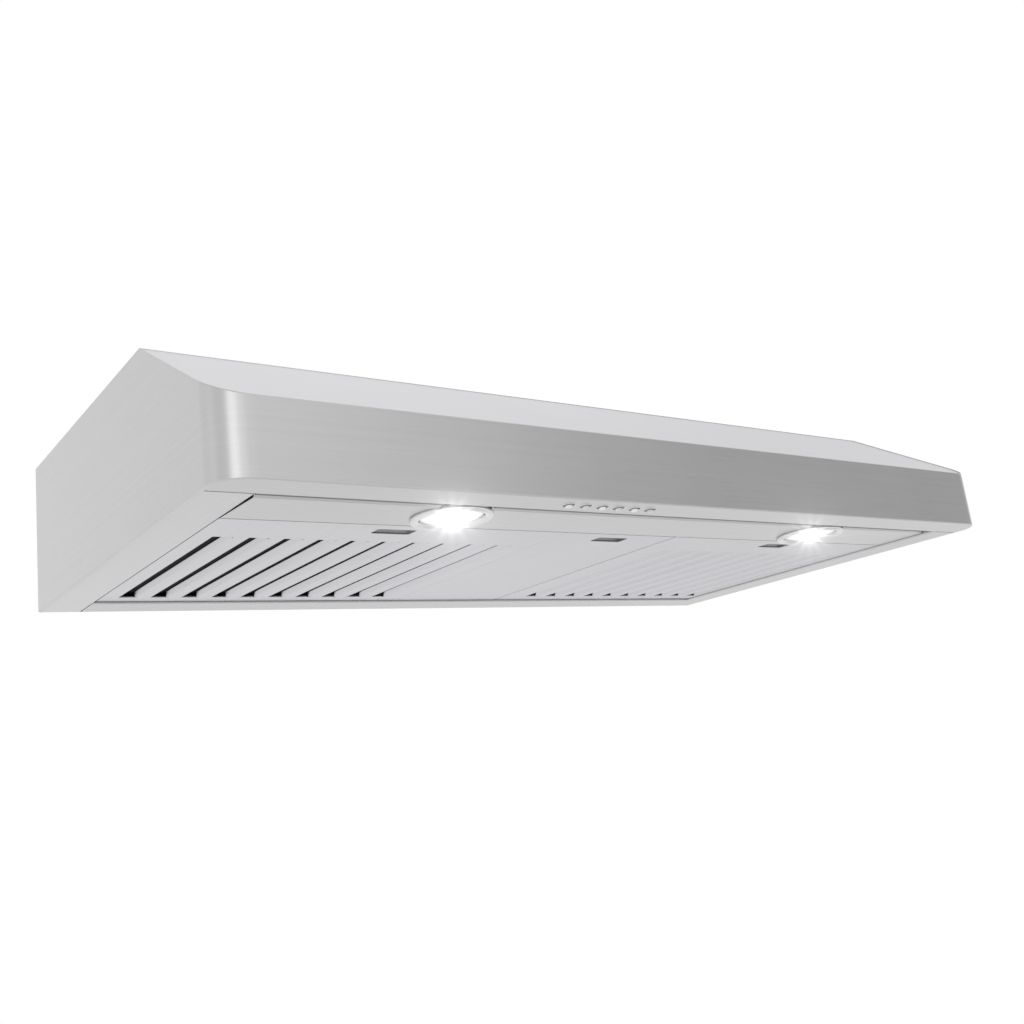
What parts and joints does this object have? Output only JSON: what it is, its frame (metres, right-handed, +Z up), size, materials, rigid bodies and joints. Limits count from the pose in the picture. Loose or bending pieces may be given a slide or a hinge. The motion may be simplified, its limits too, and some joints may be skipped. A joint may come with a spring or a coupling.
{
  "type": "under cabinet range hood",
  "caption": "Wide low stainless hood with a sloped front, rounded corners, slotted grease filters, puck lights, push buttons and a round top duct.",
  "frame": {"origin": "on the top face that meets the cabinet, on the centre line, at the rear row of fixing screws, 30 mm in front of the wall", "axes": "+X to the right as seen from the room, +Y towards the wall, +Z up towards the cabinet"},
  "size_m": [0.9, 0.475, 0.1904],
  "materials": {
    "brushed_stainless": "fine horizontal brushed satin",
    "galvanised_steel": "galvanised sheet, dull spangle",
    "bright_chrome": "polished plating",
    "frosted_lens": "frosted, lit from behind",
    "cast_aluminium": "cast, satin",
    "grease_mesh": "expanded mesh, dull",
    "black_plastic": "fine moulded grain",
    "ivory_plastic": "moulded",
    "turned_brass": "turned"
  },
  "bodies": {
    "canopy": {"canopy_shell": "brushed_stainless", "slope_panel": "brushed_stainless", "top_plate": "brushed_stainless", "back_plate": "galvanised_steel", "left_bottom_flange": "brushed_stainless", "right_bottom_flange": "brushed_stainless", "rear_rail": "brushed_stainless", "front_lip": "brushed_stainless", "switch_block": "black_plastic", "light_panel": "brushed_stainless", "left_light_bezel": "bright_chrome", "left_light_lens": "frosted_lens", "left_led_module": "cast_aluminium", "right_light_bezel": "bright_chrome", "right_light_lens": "frosted_lens", "right_led_module": "cast_aluminium", "led_driver": "ivory_plastic", "scroll_wrap": "galvanised_steel", "scroll_left_side": "galvanised_steel", "scroll_right_side": "galvanised_steel", "left_inlet_ring": "galvanised_steel", "right_inlet_ring": "galvanised_steel", "motor": "cast_aluminium", "motor_bracket": "galvanised_steel", "bearing_bracket": "galvanised_steel", "shaft_bearing": "turned_brass", "run_capacitor": "ivory_plastic", "duct_collar": "galvanised_steel", "damper_rod": "bright_chrome", "collar_screw_1": "bright_chrome", "collar_screw_2": "bright_chrome", "collar_screw_3": "bright_chrome", "collar_screw_4": "bright_chrome", "junction_box": "galvanised_steel", "junction_box_cover": "galvanised_steel", "cable_gland": "black_plastic", "terminal_block": "ivory_plastic", "wiring_loom": "black_plastic"},
    "left_filter": {"left_filter_panel": "brushed_stainless", "left_filter_mesh": "grease_mesh", "left_latch_spring": "galvanised_steel"},
    "centre_filter": {"centre_panel": "brushed_stainless", "centre_latch_spring": "galvanised_steel"},
    "right_filter": {"right_filter_panel": "brushed_stainless", "right_filter_mesh": "grease_mesh", "right_latch_spring": "galvanised_steel"},
    "left_latch_slide": {"left_latch": "brushed_stainless"},
    "centre_latch_slide": {"centre_latch": "brushed_stainless"},
    "right_latch_slide": {"right_latch": "brushed_stainless"},
    "rotor": {"impeller": "galvanised_steel", "impeller_hub": "turned_brass", "motor_shaft": "bright_chrome"},
    "front_damper": {"front_damper_flap": "galvanised_steel"},
    "rear_damper": {"rear_damper_flap": "galvanised_steel"},
    "button_1": {"push_button_1": "bright_chrome"},
    "button_2": {"push_button_2": "bright_chrome"},
    "button_3": {"push_button_3": "bright_chrome"},
    "button_4": {"push_button_4": "bright_chrome"},
    "button_5": {"push_button_5": "bright_chrome"},
    "button_6": {"push_button_6": "bright_chrome"}
  },
  "joints": [
    {"name": "left_panel_hinge", "type": "hinge", "parent": "canopy", "child": "left_filter", "pos_m": [0, -0.0145, -0.145], "axis": [1, 0, 0], "range_deg": [0, 75]},
    {"name": "left_latch_pull", "type": "slide", "parent": "left_filter", "child": "left_latch_slide", "axis": [0, 1, 0], "range_m": [0, 0.005], "stiffness_N_per_m": 400, "springref_m": -0.006, "deforming": ["left_latch_spring"]},
    {"name": "centre_panel_hinge", "type": "hinge", "parent": "canopy", "child": "centre_filter", "pos_m": [0, -0.0145, -0.145], "axis": [1, 0, 0], "range_deg": [0, 75]},
    {"name": "centre_latch_pull", "type": "slide", "parent": "centre_filter", "child": "centre_latch_slide", "axis": [0, 1, 0], "range_m": [0, 0.005], "stiffness_N_per_m": 400, "springref_m": -0.006, "deforming": ["centre_latch_spring"]},
    {"name": "right_panel_hinge", "type": "hinge", "parent": "canopy", "child": "right_filter", "pos_m": [0, -0.0145, -0.145], "axis": [1, 0, 0], "range_deg": [0, 75]},
    {"name": "right_latch_pull", "type": "slide", "parent": "right_filter", "child": "right_latch_slide", "axis": [0, 1, 0], "range_m": [0, 0.005], "stiffness_N_per_m": 400, "springref_m": -0.006, "deforming": ["right_latch_spring"]},
    {"name": "fan_spin", "type": "hinge", "parent": "canopy", "child": "rotor", "pos_m": [0, -0.11, -0.072], "axis": [1, 0, 0], "continuous": true},
    {"name": "front_damper_hinge", "type": "hinge", "parent": "canopy", "child": "front_damper", "pos_m": [0, -0.09, 0.012], "axis": [-1, 0, 0], "range_deg": [0, 78]},
    {"name": "rear_damper_hinge", "type": "hinge", "parent": "canopy", "child": "rear_damper", "pos_m": [0, -0.09, 0.012], "axis": [1, 0, 0], "range_deg": [0, 78]},
    {"name": "button_1_press", "type": "slide", "parent": "canopy", "child": "button_1", "axis": [0, 0, 1], "range_m": [0, 0.002], "stiffness_N_per_m": 500, "springref_m": -0.002},
    {"name": "button_2_press", "type": "slide", "parent": "canopy", "child": "button_2", "axis": [0, 0, 1], "range_m": [0, 0.002], "stiffness_N_per_m": 500, "springref_m": -0.002},
    {"name": "button_3_press", "type": "slide", "parent": "canopy", "child": "button_3", "axis": [0, 0, 1], "range_m": [0, 0.002], "stiffness_N_per_m": 500, "springref_m": -0.002},
    {"name": "button_4_press", "type": "slide", "parent": "canopy", "child": "button_4", "axis": [0, 0, 1], "range_m": [0, 0.002], "stiffness_N_per_m": 500, "springref_m": -0.002},
    {"name": "button_5_press", "type": "slide", "parent": "canopy", "child": "button_5", "axis": [0, 0, 1], "range_m": [0, 0.002], "stiffness_N_per_m": 500, "springref_m": -0.002},
    {"name": "button_6_press", "type": "slide", "parent": "canopy", "child": "button_6", "axis": [0, 0, 1], "range_m": [0, 0.002], "stiffness_N_per_m": 500, "springref_m": -0.002}
  ]
}
